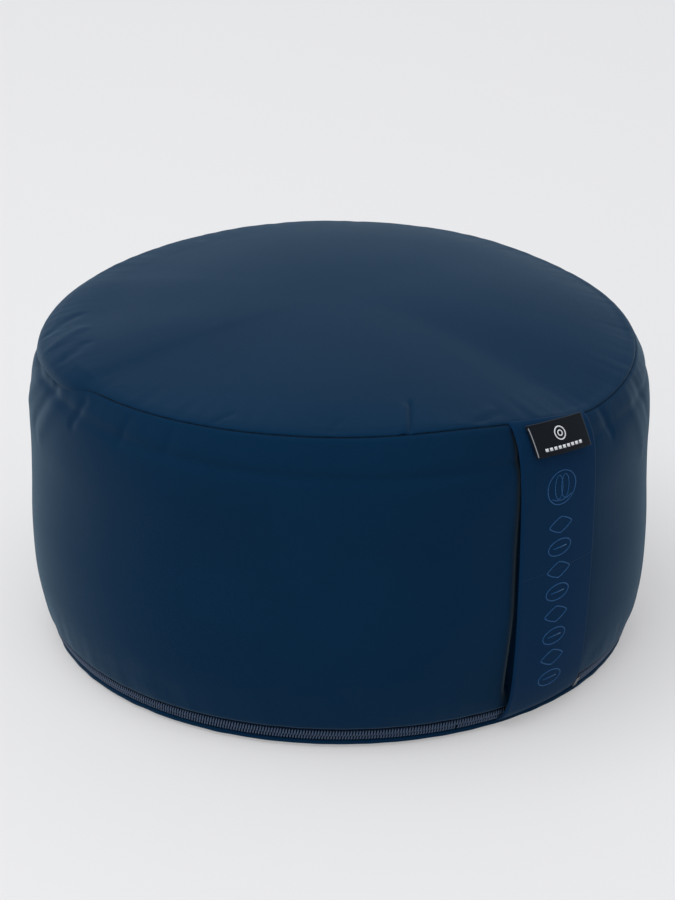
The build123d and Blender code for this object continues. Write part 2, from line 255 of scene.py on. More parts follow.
def ridge(bearing, height, start, end, width):
    """A soft fold along a line between two (bearing, height) places, fading at both ends."""
    x = wrapped(bearing) * DEGREE
    a = np.array([start[0] * DEGREE, start[1]])
    b = np.array([end[0] * DEGREE, end[1]])
    line = b - a
    length = float(np.hypot(*line))
    along = ((x - a[0]) * line[0] + (height - a[1]) * line[1]) / length**2
    across = ((x - a[0]) * line[1] - (height - a[1]) * line[0]) / length
    fade = np.clip(np.minimum(along, 1 - along) * 4 + 0.35, 0, 1)
    fade = fade * fade * (3 - 2 * fade) * (along > -0.12) * (along < 1.12)
    return np.exp(-((across / width) ** 2)) * fade


# Folds as (height of the fold in mm, one end, other end, half its width). Ends are (bearing, height) on
# the side band and (bearing, radius) on the top.
SIDE_FOLDS = [
    (0.6, (-60, 150), (-72, 112), 4.6), (-0.7, (-63, 151), (-76, 116), 3.4),
    (0.6, (-70, 150), (-84, 118), 4.2), (-0.6, (-76, 150), (-89, 124), 3.2),
    (0.3, (-84, 148), (-99, 118), 4.6), (-0.7, (-53, 151), (-57, 134), 2.6),
    (-0.5, (-41, 152), (-43, 136), 2.2), (-0.4, (-31, 153), (-32, 141), 2.0),
    (0.45, (66, 143), (72, 104), 5.0), (-0.5, (72, 144), (79, 108), 3.8),
    (-0.6, (56, 144), (58, 128), 2.4), (-0.7, (118, 147), (126, 116), 3.4),
    (0.8, (124, 147), (133, 116), 3.8), (0.8, (176, 150), (168, 120), 3.4),
    (-0.8, (-176, 150), (176, 126), 3.0), (-0.8, (-136, 149), (-144, 122), 3.2),
    (0.9, (-130, 149), (-138, 116), 3.6),
]
TOP_FOLDS = [
    (-1.1, (12.4, 143), (15.2, 118), 1.0), (0.7, (11.0, 143), (13.8, 120), 1.8),
    (-0.35, (25, 140), (33, 134), 1.6), (0.3, (26, 135), (32, 130), 1.8),
    (-0.3, (-24, 141), (-21, 130), 1.6), (-0.25, (-2, 141), (0, 131), 1.6),
    (-0.5, (-66, 141), (-72, 124), 3.4), (0.5, (-75, 142), (-82, 122), 4.0),
    (-0.5, (-84, 142), (-92, 124), 3.2), (-0.35, (-150, 141), (-146, 126), 2.4),
    (-0.3, (142, 141), (138, 128), 2.4),
]


def side_folds(bearing, height):
    """How far the side band stands out or in, in mm, where the cloth is dragged."""
    out = 0.0
    for size, start, end, width in SIDE_FOLDS:
        out = out + size * ridge(bearing, height, start, end, width)
    return out


def top_folds(bearing, radius):
    """How far the top stands up or down, in mm: a pinched tuck and small creases by the seam."""
    up = 0.0
    for size, start, end, width in TOP_FOLDS:
        up = up + size * ridge(bearing, radius, start, end, width)
    return up


# Edge of the top panel as (radius, height over the seam): sewn down into the seam, and where no seam shows
SEWN_LIP = [(141.2, 0.25), (142.0, 0.5), (141.7, 1.1), (140.2, 1.8), (137.5, 2.5)]
PLAIN_LIP = [(146.0, -4.5), (145.4, -2.0), (144.5, -0.3), (143.0, 1.1), (140.6, 2.6), (137.5, 4.2)]


def strap_drift(height):
    """The strap isn't sewn on quite upright: its shift sideways at a height in mm, minus to its left."""
    places = [
        (2.0, -2.8), (12.0, -3.8), (30.0, -4.9), (55.0, -4.2), (85.0, -3.0), (115.0, -1.7), (156.0, 0.0),
    ]
    line = spline(places, 200)
    return np.interp(height, line[:, 0], line[:, 1])


def side_profile(count):
    """The side band's outline in mm, radius and height, hem to seam, for a level seam."""
    points = [
        (143.7, 12.9), (144.3, 11.3), (145.3, 11.2), (146.2, 13.2), (147.7, 19.0), (149.6, 29.0),
        (150.7, 40.0), (151.1, 60.0), (150.4, 80.0), (150.1, 98.0), (150.4, 116.0), (149.6, 130.0),
        (147.6, 141.5), (145.6, 148.4), (144.1, 152.4), (143.2, 154.5), (142.3, 155.3), (141.3, 155.4),
    ]
    return spline(points, count)


def side_grid(columns, rows, relief=None):
    """Outer face of the side band: rows x columns x 3, in mm."""
    profile = side_profile(rows)
    level = profile[:, 1][:, None]
    bearing = np.arange(columns) * 360.0 / columns - 180.0
    angle = np.radians(bearing) + FRONT_ANGLE
    spread = np.repeat(bearing[None, :], rows, axis=0)
    radius = np.repeat(profile[:, 0][:, None], columns, axis=1)

    # The band's upper part follows the seam up and down
    rise = seam_height(bearing) - SEAM_Z
    height = level + ramp(level, 95.0, SEAM_Z) ** 1.6 * rise[None, :]

    # Where the seam is hidden, the band is as full as the top's edge over it
    shoulder = 146.7 - 0.22 * (level - 145.0)
    over = np.maximum(shoulder - radius, 0) * (level > 145.0) * ramp(level, 154.5, 152.5)
    radius = radius + over * hidden_share(spread)

    # Fine puckers along the seam and the hem
    groove = ramp(level, 151.0, 155.0) ** 2
    by_seam = waves(bearing, 11, 70, 130, 6)[None, :]
    radius = radius + 0.05 * by_seam * ramp(level, 138.0, 152.0) * (1 - 0.6 * groove)
    by_hem = waves(bearing, 12, 40, 90, 6)[None, :]
    radius = radius + 0.10 * by_hem * ramp(level, 34.0, 16.0)

    # The crack that the strap's left edge lies over, deepest near the hem
    depth = (4.2 + 1.4 * bump_at(height, 22.0, 24.0)) * ramp(height, 12.0, 20.0)
    crack = STRAP_CRACK + np.degrees(strap_drift(height) / BELLY_R)
    radius = radius - depth * bump_at(spread, crack, 1.1) * (1 - groove)

    slow = 0.5 * waves(bearing, 13, 3, 8, 4)[None, :] * np.sin(np.pi * ramp(height, 0.0, 155.0))
    radius = radius + slow + side_folds(spread, height)
    if relief is not None:
        radius = radius + relief * (1 - 0.7 * hidden_share(spread))
    return on_drum(radius, angle, height)


def top_grid(columns, rows, relief=None):
    """Outer face of the top panel, seam to middle: rows x columns x 3, in mm."""
    bearing = np.arange(columns) * 360.0 / columns - 180.0
    angle = np.radians(bearing) + FRONT_ANGLE
    spread = np.repeat(bearing[None, :], rows, axis=0)
    seam = seam_height(bearing)

    # The panel's edge, then a dome
    sewn = spline(SEWN_LIP, rows // 6)[:, None]
    plain = spline(PLAIN_LIP, rows // 6)[:, None]
    share = 1 - hidden_share(bearing)[None, :, None]
    lip = sewn * share + plain * (1 - share)
    start, rise = lip[-1, :, 0], lip[-1, :, 1]
    inward = np.linspace(1, 0, rows - len(lip) + 1)[1:, None]
    radius = np.concatenate([lip[:, :, 0], start * inward])
    lift = np.concatenate([lip[:, :, 1], rise * np.ones_like(inward)])
    dome = 1 - np.clip(radius / start, 0, 1) ** CROWN_POWER
    height = seam + lift + (CROWN_Z - seam - rise) * dome

    # The raised shoulder, fine puckers by the seam, folds, and slow unevenness further in
    height = height + SHOULDER_RISE * bump_at(spread, SHOULDER_BEARING, 20.0) * bump_at(radius, 131.0, 11.0)
    rim = ramp(radius, 118.0, 138.0)
    height = height + 0.05 * waves(bearing, 21, 60, 120, 6) * rim
    height = height + top_folds(spread, radius)
    height = height + 0.6 * waves(bearing, 22, 2, 5, 3) * ramp(radius, 0.0, 100.0) ** 2 * (1 - rim)
    if relief is not None:
        height = height + relief * ramp(radius, 98.0, 132.0) ** 2
    return on_drum(radius, angle, height)


# ---------------------------------------------------------------- cloth simulation
SIM_COLUMNS = 200       # points round the drum
SIM_SIDE = 40           # rows of the side band
SIM_TOP = 26            # rows of the top
SIM_FRAMES = 20
SIM_CAP = 2.6           # how far a point may move, in mm
RELIEF_SIDE = 0.45      # how much of the movement the side band keeps
RELIEF_TOP = 0.18


def smooth_columns(field, passes):
    """A field round the drum, smoothed a little both ways."""
    for _ in range(passes):
        field = (np.roll(field, 1, axis=1) + 2 * field + np.roll(field, -1, axis=1)) / 4
        inner = (field[:-2] + 2 * field[1:-1] + field[2:]) / 4
        field = np.concatenate([field[:1], inner, field[-1:]])
    return field


def resample(field, rows, columns):
    """A field on the simulation's grid, brought to a finer one."""
    at = np.linspace(0, field.shape[0] - 1, rows)
    low = np.clip(at.astype(int), 0, field.shape[0] - 2)
    part = (at - low)[:, None]
    by_row = field[low] * (1 - part) + field[low + 1] * part
    around = np.arange(columns) * field.shape[1] / columns
    left = around.astype(int)
    part = (around - left)[None, :]
    part = part * part * (3 - 2 * part)
    right = (left + 1) % field.shape[1]
    return by_row[:, left] * (1 - part) + by_row[:, right] * part


def inflate(name, grid, outward):
    """Fill a grid of cloth with pressure, its two edges held, and return how far it puckers, in mm."""
    rows, columns = grid.shape[:2]
    index = np.arange(rows * columns).reshape(rows, columns)
    faces = []
    for row in range(rows - 1):
        for column in range(columns):
            after = (column + 1) % columns
            near, far = index[row], index[row + 1]
            faces.append((near[column], near[after], far[after], far[column]))
    piece = new_object(name, grid.reshape(-1, 3) * MM, [tuple(int(i) for i in f) for f in faces])
    held = piece.vertex_groups.new(name="held")
    held.add([int(i) for i in index[0]] + [int(i) for i in index[-1]], 1.0, "REPLACE")
    cloth = piece.modifiers.new("cloth", "CLOTH")
    settings = cloth.settings
    settings.quality = 6
    settings.mass = 0.3
    settings.tension_stiffness = 25
    settings.compression_stiffness = 25
    settings.shear_stiffness = 12
    settings.bending_stiffness = 0.6
    settings.vertex_group_mass = "held"
    settings.shrink_min = -0.022
    settings.use_pressure = True
    settings.uniform_pressure_force = 4.0
    settings.effector_weights.gravity = 0.0
    cloth.collision_settings.use_collision = False
    cloth.point_cache.frame_start = 1
    cloth.point_cache.frame_end = SIM_FRAMES
    scene = bpy.context.scene
    for step in range(1, SIM_FRAMES + 1):
        scene.frame_set(step)
    shape = piece.evaluated_get(bpy.context.evaluated_depsgraph_get()).to_mesh()
    after = np.empty(len(shape.vertices) * 3)
    shape.vertices.foreach_get("co", after)
    moved = (after.reshape(rows, columns, 3) / MM - grid) * outward
    field = moved.sum(axis=-1)
    scene.frame_set(1)
    bpy.data.objects.remove(piece)
    field = field - smooth_columns(field, 1).mean(axis=1, keepdims=True)
    return np.clip(smooth_columns(field, 1), -SIM_CAP, SIM_CAP)


def cloth_relief():
    """Puckers and slack of the filled cover, from cloth simulations of its side band and top."""
    side = side_grid(SIM_COLUMNS, SIM_SIDE)
    away = side * np.array([1, 1, 0])
    away = away / np.linalg.norm(away, axis=-1, keepdims=True)
    side_field = inflate("side_cloth", side, away)
    top = top_grid(SIM_COLUMNS, SIM_TOP)[:-2]
    top_field = inflate("top_cloth", top, np.array([0, 0, 1.0]))
    top_field = np.concatenate([top_field, np.zeros((2, SIM_COLUMNS))])
    return (
        RELIEF_SIDE * resample(side_field, SIDE_ROWS, COLUMNS),
        RELIEF_TOP * resample(top_field, TOP_ROWS, COLUMNS),
    )


# ---------------------------------------------------------------- materials
def linear(red, green, blue):
    """A display colour, 0 to 255, as the renderer's linear one."""
    out = []
    for value in (red, green, blue):
        v = value / 255
        out.append(v / 12.92 if v <= 0.04045 else ((v + 0.055) / 1.055) ** 2.4)
    return (*out, 1.0)


class Nodes:
    """A new material and short ways to add and join its nodes."""

    def __init__(self, name):
        self.material = bpy.data.materials.new(name)
        self.material.use_nodes = True
        self.tree = self.material.node_tree
        self.shader = self.tree.nodes["Principled BSDF"]

    def add(self, kind, **values):
        node = self.tree.nodes.new(kind)
        for key, value in values.items():
            if key in node.inputs:
                node.inputs[key].default_value = value
            else:
                setattr(node, key.lower(), value)
        return node

    def join(self, start, end):
        self.tree.links.new(start, end)

    def math(self, operation, first, second=None):
        node = self.add("ShaderNodeMath", operation=operation)
        for socket, value in zip(node.inputs, (first, second)):
            if value is None:
                continue
            if isinstance(value, (int, float)):
                socket.default_value = value
            else:
                self.join(value, socket)
        return node.outputs[0]


MOTTLE = 0.12           # how far the cloth's colour varies from place to place
WEAVE_TONE = 0.10       # how much lighter a yarn is where it comes over
SPECULAR_TINT = (0.55, 0.8, 1.0, 1.0)
SHEEN_TINT = (0.6, 0.85, 1.0, 1.0)


def cloth_material(name, colour, pitch=(0.00042, 0.00042), bump=0.35, sheen=0.25, rough=0.85):
    """Woven cloth: yarns crossing over and under, slight mottling, and a soft sheen."""
    m = Nodes(name)
    where = m.add("ShaderNodeUVMap", uv_map="Weave")
    parts = m.add("ShaderNodeSeparateXYZ")
    m.join(where.outputs[0], parts.inputs[0])
    warp = m.math("SINE", m.math("MULTIPLY", parts.outputs[0], TAU / pitch[0] / 2))
    weft = m.math("SINE", m.math("MULTIPLY", parts.outputs[1], TAU / pitch[1] / 2))
    weave = m.math("MULTIPLY", warp, weft)
    place = m.add("ShaderNodeTexCoord")
    broad = m.add("ShaderNodeTexNoise", Scale=16.0, Detail=3.0, Roughness=0.55)
    fine = m.add("ShaderNodeTexNoise", Scale=900.0, Detail=2.0, Roughness=0.6)
    m.join(place.outputs["Object"], broad.inputs["Vector"])
    m.join(place.outputs["Object"], fine.inputs["Vector"])
    tone = m.math("MULTIPLY", m.math("SUBTRACT", broad.outputs[0], 0.5), 2 * MOTTLE)
    slub = m.math("MULTIPLY", m.math("SUBTRACT", fine.outputs[0], 0.5), MOTTLE)
    value = m.math("ADD", m.math("ADD", tone, slub), m.math("MULTIPLY", weave, WEAVE_TONE))
    value = m.math("ADD", value, 1.0)
    mix = m.add("ShaderNodeVectorMath", operation="SCALE")
    mix.inputs[0].default_value = colour[:3]
    m.join(value, mix.inputs["Scale"])
    m.join(mix.outputs[0], m.shader.inputs["Base Color"])
    height = m.math("ADD", m.math("MULTIPLY", weave, 0.6), m.math("MULTIPLY", fine.outputs[0], 0.7))
    relief = m.add("ShaderNodeBump", Strength=bump, Distance=0.00012)
    m.join(height, relief.inputs["Height"])
    m.join(relief.outputs[0], m.shader.inputs["Normal"])
    m.shader.inputs["Roughness"].default_value = rough
    m.shader.inputs["Specular IOR Level"].default_value = 0.08
    m.shader.inputs["Specular Tint"].default_value = SPECULAR_TINT
    m.shader.inputs["Sheen Weight"].default_value = sheen
    m.shader.inputs["Sheen Roughness"].default_value = 0.36
    m.shader.inputs["Sheen Tint"].default_value = SHEEN_TINT
    return m.material


def solid_material(name, colour, rough, metal=0.0, grain=260.0, bump=0.15, coat=0.0):
    """Moulded, enamelled or printed finish with a fine grain."""
    m = Nodes(name)
    place = m.add("ShaderNodeTexCoord")
    noise = m.add("ShaderNodeTexNoise", Scale=grain, Detail=3.0, Roughness=0.6)
    m.join(place.outputs["Object"], noise.inputs["Vector"])
    value = m.math("ADD", m.math("MULTIPLY", m.math("SUBTRACT", noise.outputs[0], 0.5), 0.3), 1.0)
    mix = m.add("ShaderNodeVectorMath", operation="SCALE")
    mix.inputs[0].default_value = colour[:3]
    m.join(value, mix.inputs["Scale"])
    m.join(mix.outputs[0], m.shader.inputs["Base Color"])
    relief = m.add("ShaderNodeBump", Strength=bump, Distance=0.0001)
    m.join(noise.outputs[0], relief.inputs["Height"])
    m.join(relief.outputs[0], m.shader.inputs["Normal"])
    m.shader.inputs["Roughness"].default_value = rough
    m.shader.inputs["Metallic"].default_value = metal
    m.shader.inputs["Coat Weight"].default_value = coat
    return m.material


FINE = (0.0003, 0.0003)
MEDIUM = (0.0006, 0.0006)
MATERIALS = {
    "cover": cloth_material("cover_canvas", linear(4, 36, 62), sheen=0.21),
    "strap": cloth_material("strap_webbing", linear(6, 38, 67), (0.0007, 0.0012), bump=0.3, sheen=0.08),
    "motif": cloth_material("motif_thread", linear(30, 74, 120), (0.0005, 0.0005), 0.4, sheen=0.4, rough=0.5),
    "tape": cloth_material("zip_tape", linear(15, 31, 54), MEDIUM, bump=0.5, sheen=0.2),
    "coil": solid_material("zip_coil", linear(44, 66, 94), 0.42, grain=500.0),
    "metal": solid_material(
        "zip_enamel", linear(24, 32, 44), 0.34, metal=0.6, grain=700.0, bump=0.08, coat=0.3,
    ),
    "label": cloth_material("label_satin", linear(20, 22, 27), (0.0003, 0.0005), sheen=0.15, rough=0.6),
    "label_edge": cloth_material("label_fold", linear(150, 154, 160), FINE, sheen=0.1),
    "print": cloth_material("label_thread", linear(226, 228, 231), FINE, bump=0.4, sheen=0.1),
    "care": cloth_material("care_satin", linear(226, 225, 220), (0.0003, 0.0006), sheen=0.2, rough=0.5),
    "liner": cloth_material("liner_sheeting", linear(205, 198, 180), MEDIUM, bump=0.5, sheen=0.1),
    "liner_coil": solid_material("liner_coil", linear(208, 202, 188), 0.4, grain=500.0),
    "hulls": solid_material("hulls", linear(70, 48, 34), 0.6, grain=300.0, bump=1.0),
}


def paint(piece, key):
    """Give a piece, or a carried-over CAD node, its one material."""
    piece.data.materials.clear()
    piece.data.materials.append(MATERIALS[key])


# ---------------------------------------------------------------- cover
def arc_lengths(grid):
    """Distance of cloth along the rows from the first, in metres, one value per row."""
    steps = np.linalg.norm(np.diff(grid[:, 0], axis=0), axis=-1) * MM
    return np.concatenate([[0], np.cumsum(steps)])


def build_cover():
    """Side band and domed top, filled out by the simulation."""
    side_relief, top_relief = cloth_relief()
    side = side_grid(COLUMNS, SIDE_ROWS, side_relief)
    outward = side * np.array([1, 1, 0])
    outward = outward / np.linalg.norm(outward, axis=-1, keepdims=True)
    inner = side - outward * CLOTH
    last = 12   # rows at the seam, where the inner face drops away from the turned-in edge
    inner[-last:] -= outward[-last:] * np.linspace(0, 1.2, last)[:, None, None]
    inner[-last:, :, 2] -= np.linspace(0, 1.0, last)[:, None]
    around = np.arange(COLUMNS) / COLUMNS * TAU * (BELLY_R * MM)
    uv = np.stack(np.broadcast_arrays(around[None, :], arc_lengths(side)[:, None]), axis=-1)
    band = shell("cover_side", side * MM, inner * MM, uv)
    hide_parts("side_panel", "top_seam_allowance")

    top = top_grid(COLUMNS, TOP_ROWS, top_relief)
    under = top.copy()
    under[:, :, 2] -= CLOTH
    under[:6, :, :2] *= 0.994
    dome = shell("cover_top", top * MM, under * MM, top[:, :, :2] * MM)
    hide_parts("top_panel")
    for piece in (band, dome):
        paint(piece, "cover")
        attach(piece, "cover")


def build_base():
    """Bottom panel with its rim turned up to the zip."""
    points = [
        (0.0, 0.15), (60.0, 0.1), (110.0, 0.05), (130.0, 0.1), (138.6, 0.6), (142.2, 1.6), (143.0, 2.7),
        (142.0, 3.7),
    ]
    profile = spline(points, 64)
    bearing = np.arange(COLUMNS) * 360.0 / COLUMNS
    angle = np.radians(bearing)
    edge = ramp(profile[:, 0], 128.0, 140.0)[:, None]
    radius = profile[:, 0][:, None] + 0.12 * edge * waves(bearing, 31, 30, 80, 6)[None, :]
    height = profile[:, 1][:, None]
    outer = on_drum(radius, angle, height)
    inner = on_drum(radius - edge, angle, height + 1.0 - 0.8 * edge)
    piece = shell("base_cloth", inner[::-1] * MM, outer[::-1] * MM, outer[::-1, :, :2] * MM)
    paint(piece, "cover")
    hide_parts("bottom_panel")
    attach(piece, "bottom_lid")


# ---------------------------------------------------------------- zip
ZIP_R = 142.7           # middle of the zip band: its radius,
ZIP_Z = 6.75            # its height,
ZIP_TILT = math.radians(25.5)   # and its lean outwards from the upright
COIL_PITCH = 1.35       # from one loop to the next
LOOP_STATIONS = 7       # places along a loop
LOOP_SIDES = 6          # corners of its round section
LOOP_R = 0.46           # half the thickness of a loop,
LOOP_END_R = 0.3        # and of its two ends
LOOP_SLANT = 0.55       # how far a loop leans round the drum, in pitches


def band_place(angle, along, through):
    """A point of the zip band in mm: round the drum, up the band, and outwards through it."""
    radius = ZIP_R + along * math.sin(ZIP_TILT) + through * math.cos(ZIP_TILT)
    height = ZIP_Z + along * math.cos(ZIP_TILT) - through * math.sin(ZIP_TILT)
    return on_drum(radius, angle, height)


def coil_teeth(name, spans, upper, node, body):
    """Half a coil: a row of slanting loops of nylon, each bulging out from the tape."""
    stations = np.linspace(0, 1, LOOP_STATIONS)
    bend = np.sin(np.pi * stations)
    last = LOOP_STATIONS - 1
    sign = 1.0 if upper else -1.0
    pitch = math.degrees(COIL_PITCH / ZIP_R)
    verts = []
    faces = []
    for first, end in spans:
        for number in range(int((end - first) / pitch)):
            middle = math.radians(first + (number + (0.5 if upper else 0.0)) * pitch)
            base = len(verts)
            for k, (share, bulge) in enumerate(zip(stations, bend)):
                along = sign * (-0.35 + 3.45 * share)
                depth = -0.25 + bulge
                turn = middle + sign * (share - 0.5) * math.radians(pitch) * LOOP_SLANT
                thick = LOOP_R if 0 < k < last else LOOP_END_R
                for corner in range(LOOP_SIDES):
                    a = TAU * corner / LOOP_SIDES
                    angle = np.array(turn + thick * math.cos(a) / ZIP_R)
                    verts.append(band_place(angle, along, depth + thick * 0.9 * math.sin(a)) * MM)
            for k in range(last):
                for corner in range(LOOP_SIDES):
                    a = base + LOOP_SIDES * k + corner
                    b = base + LOOP_SIDES * k + (corner + 1) % LOOP_SIDES
                    faces.append((a, b, b + LOOP_SIDES, a + LOOP_SIDES))
            far = base + LOOP_SIDES * last
            faces.append(tuple(base + corner for corner in reversed(range(LOOP_SIDES))))
            faces.append(tuple(far + corner for corner in range(LOOP_SIDES)))
    piece = new_object(name, verts, faces)
    paint(piece, "coil")
    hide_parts(node)
    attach(piece, body)


def build_zip():
    """The coil in three parts, as the lid carries most of its lower half."""
    coil_teeth("coil_upper_teeth", [(-81.8, 261.8)], True, "zip_coil_upper", "cover")
    coil_teeth("coil_lower_teeth", [(-70.0, 250.1)], False, "zip_coil_lower", "bottom_lid")
    coil_teeth("coil_end_teeth", [(-81.8, -69.8), (250.1, 261.8)], False, "zip_coil_ends", "cover")
    for node in ("zip_tape_upper", "zip_tape_lower", "zip_tape_ends", "liner_zip_tapes"):
        add_weave(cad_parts[node])
        paint(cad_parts[node], "liner" if node.startswith("liner") else "tape")
    metal_nodes = [
        "zip_end_stops", "zip_slider_left", "zip_bridge_left", "zip_pull_left", "zip_slider_right",
        "zip_bridge_right", "zip_pull_right", "liner_zip_stops", "liner_zip_slider", "liner_zip_pull",
    ]
    for node in metal_nodes:
        paint(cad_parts[node], "metal")


def add_weave(piece):
    """A weave map for a carried-over CAD node: unrolled round the drum, or flat for the liner's tapes."""
    place = np.empty(len(piece.data.vertices) * 3)
    piece.data.vertices.foreach_get("co", place)
    x, y, z = place.reshape(-1, 3).T
    around = np.arctan2(y, x) * 0.145
    if max(abs(z)) < 0.006 and np.ptp(y) < 0.02:
        around = x
    weave_map(piece, np.stack([around, z + y * 0.2], axis=-1))


# ---------------------------------------------------------------- strap
STRAP_MIDDLE = -1.6     # place of its centre line at the top seam, along X
STRAP_WIDTH = 48.6
STRAP_THICK = 1.5
STRAP_SPLIT = 77.0      # height at which the upper half meets the lower
STRAP_LENGTH = 165.0
STRAP_ROLL = 0.9        # width of its rounded edges

# The strap's back face on its centre line, as (distance towards -Y, height), top to bottom
STRAP_LINE = [
    (141.0, 155.6), (142.6, 154.9), (144.6, 152.6), (148.4, 143.6), (150.6, 130.0), (151.6, 112.0),
    (152.2, 88.0), (152.4, 62.0), (151.7, 38.0), (149.6, 21.0), (146.0, 10.6), (142.6, 5.9), (139.6, 4.4),
]
STRAP_SAMPLES = spline(STRAP_LINE, 600)


def strap_point(across, height, lift):
    """A point on the strap at a place across it, a height, and a lift off its back face, in mm."""
    down = STRAP_SAMPLES[::-1]
    distance = np.interp(height, down[:, 1], down[:, 0])
    slope = np.gradient(down[:, 0], down[:, 1])
    lean = np.interp(height, down[:, 1], slope)
    size = np.sqrt(1 + lean**2)

    # Across, the strap bends round the drum, and its left edge stands off a little
    middle = np.sin(np.pi * ramp(height, 2.0, 152.0))
    left = np.clip(-across / STRAP_WIDTH * 2, 0, 1) ** 2
    low = bump_at(height, 26.0, 22.0)
    sag = across**2 / (2 * BELLY_R) * (1.1 - 0.25 * middle - (0.3 * middle + 0.5 * low) * left)
    y = -(distance + lift / size) + sag

    # Its top follows the seam up and down
    angle = (across + STRAP_MIDDLE) / SEAM_R + math.radians(STRAP_BEARING)
    fall = ramp(height, 104.0, SEAM_Z) ** 1.5 * (seam_height(np.degrees(angle)) - SEAM_Z)
    z = height - lift * lean / size + fall
    x = STRAP_MIDDLE + across + strap_drift(height)
    return np.stack(np.broadcast_arrays(x, y, z), axis=-1)


def strap_half(name, high, low, rows):
    """A stretch of the strap between two places along its line, 0 at the top and 1 at the bottom."""
    line = spline(STRAP_LINE, 700)
    last = len(line) - 1
    picks = line[np.linspace(high * last, low * last, rows).astype(int)]
    columns = 61
    across = np.linspace(-0.5, 0.5, columns) * STRAP_WIDTH
    roll = 1 - np.clip((np.abs(across) - STRAP_WIDTH / 2 + STRAP_ROLL) / STRAP_ROLL, 0, 1) ** 2 * 0.75
    wander = 0.35 * waves(picks[:, 1] * 4.0, 41, 2, 9, 5)
    heights = np.minimum.accumulate(picks[:, 1] - np.arange(rows) * 1e-6)
    across_grid = across[None, :] * (1 + 0.004 * wander[:, None])
    front = strap_point(across_grid, heights[:, None], STRAP_THICK * (0.5 + roll / 2)[None, :])
    back = strap_point(across_grid, heights[:, None], STRAP_THICK * (0.5 - roll / 2)[None, :])
    along = np.linspace(high, low, rows) * STRAP_LENGTH * MM
    uv = np.stack(np.broadcast_arrays(across[None, :] * MM, along[:, None]), axis=-1)
    piece = shell(name, front[::-1] * MM, back[::-1] * MM, uv[::-1], round_drum=False)
    paint(piece, "strap")
    return piece


def rail(points, lift, width, rise, closed=True):
    """A raised thread along a line of (across, height) places on the strap: its verts and faces."""
    points = np.asarray(points, float)
    if closed:
        ahead = np.roll(points, -1, axis=0) - np.roll(points, 1, axis=0)
    else:
        ahead = np.gradient(points, axis=0)
    normal = np.stack([-ahead[:, 1], ahead[:, 0]], axis=1)
    normal = normal / np.linalg.norm(normal, axis=1, keepdims=True)
    section = [(-0.5, 0.0), (-0.38, 0.75), (0.0, 1.0), (0.38, 0.75), (0.5, 0.0)]
    verts = []
    for side, up in section:
        at = points + normal * side * width
        verts.append(strap_point(at[:, 0], at[:, 1], lift - 0.25 + (rise + 0.25) * up))
    verts = np.stack(verts, axis=1).reshape(-1, 3)
    count, size = len(points), len(section)
    faces = []
    for i in range(count if closed else count - 1):
        j = (i + 1) % count
        for k in range(size):
            n = (k + 1) % size
            faces.append((i * size + k, i * size + n, j * size + n, j * size + k))
    if not closed:
        faces.append(tuple(range(size - 1, -1, -1)))
        faces.append(tuple((count - 1) * size + k for k in range(size)))
    return verts, faces


def joined(name, rails):
    """One mesh from several rails."""
    verts = []
    faces = []
    for points, corners in rails:
        start = len(verts)
        verts.extend(points * MM)
        faces.extend(tuple(start + i for i in f) for f in corners)
    piece = new_object(name, verts, faces)
    place = np.array([v.co for v in piece.data.vertices])
    weave_map(piece, place[:, [0, 2]])
    return piece


def oval(middle, height, wide, tall, count=72, squareness=2.0):
    """A rounded outline: squareness 2 is an ellipse, and more is nearer to a rectangle."""
    turn = np.arange(count) / count * TAU
    cos, sin = np.cos(turn), np.sin(turn)
    power = 2 / squareness
    x = middle + wide * np.sign(cos) * np.abs(cos) ** power
    z = height + tall * np.sign(sin) * np.abs(sin) ** power
    return np.stack([x, z], axis=1)


def blend_upper(piece):
    """The strap's upper half, which starts at the seam: its transform is baked into its mesh."""
    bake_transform(piece)


def blend_lower(piece):
    """The strap's lower half, which ends under the base: its transform is baked into its mesh."""
    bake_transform(piece)


def build_strap():
    """The strap in two halves that meet in its free middle, with its raised thread figures."""
    upper = strap_half("strap_upper", 0.0, 0.5, 150)
    lower = strap_half("strap_lower", 0.5, 1.0, 150)
    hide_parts("strap_top_end", "strap_grip")
    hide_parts("strap_bottom_end")
    blend_upper(upper)
    blend_lower(lower)
    build_figures()


FIGURES_MIDDLE = -0.4   # place of the figures across the strap
FIGURES_PITCH = 11.2    # from one figure to the next
THREAD_WIDTH = 0.6
THREAD_RISE = 0.2


def thread(points, width=THREAD_WIDTH, closed=True):
    """A thread on the strap's front face."""
    return rail(points, STRAP_THICK, width, THREAD_RISE, closed)


def build_figures():
    """Outlined thread figures down the strap: a ring with two leaves, then diamonds and ovals in turn."""
    middle = FIGURES_MIDDLE
    high = [thread(oval(middle, 121.0, 9.0, 9.0))]
    for lean in (-2.0, 2.0):
        high.append(thread(oval(middle + lean, 121.4, 2.4, 6.4, 48), THREAD_WIDTH * 0.8))
    bowl = [(-6.4, 116.0), (-3.4, 114.6), (0.0, 114.1), (3.4, 114.6), (6.4, 116.0)]
    high.append(thread([(middle + x, z) for x, z in bowl], closed=False))
    low = []
    for number in range(8):
        place = 101.5 - number * FIGURES_PITCH
        squareness = 2.0 if number % 2 else 1.25
        rails = high if place > STRAP_SPLIT else low
        rails.append(thread(oval(middle, place, 7.2, 3.9, 72, squareness)))
        if number % 2:
            bar = [(middle - 4.2, place), (middle, place), (middle + 4.2, place)]
            rails.append(thread(bar, closed=False))
    upper = joined("strap_figures_high", high)
    lower = joined("strap_figures_low", low)
    for piece in (upper, lower):
        paint(piece, "motif")
    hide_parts("strap_motif")
    blend_upper(upper)
    blend_lower(lower)


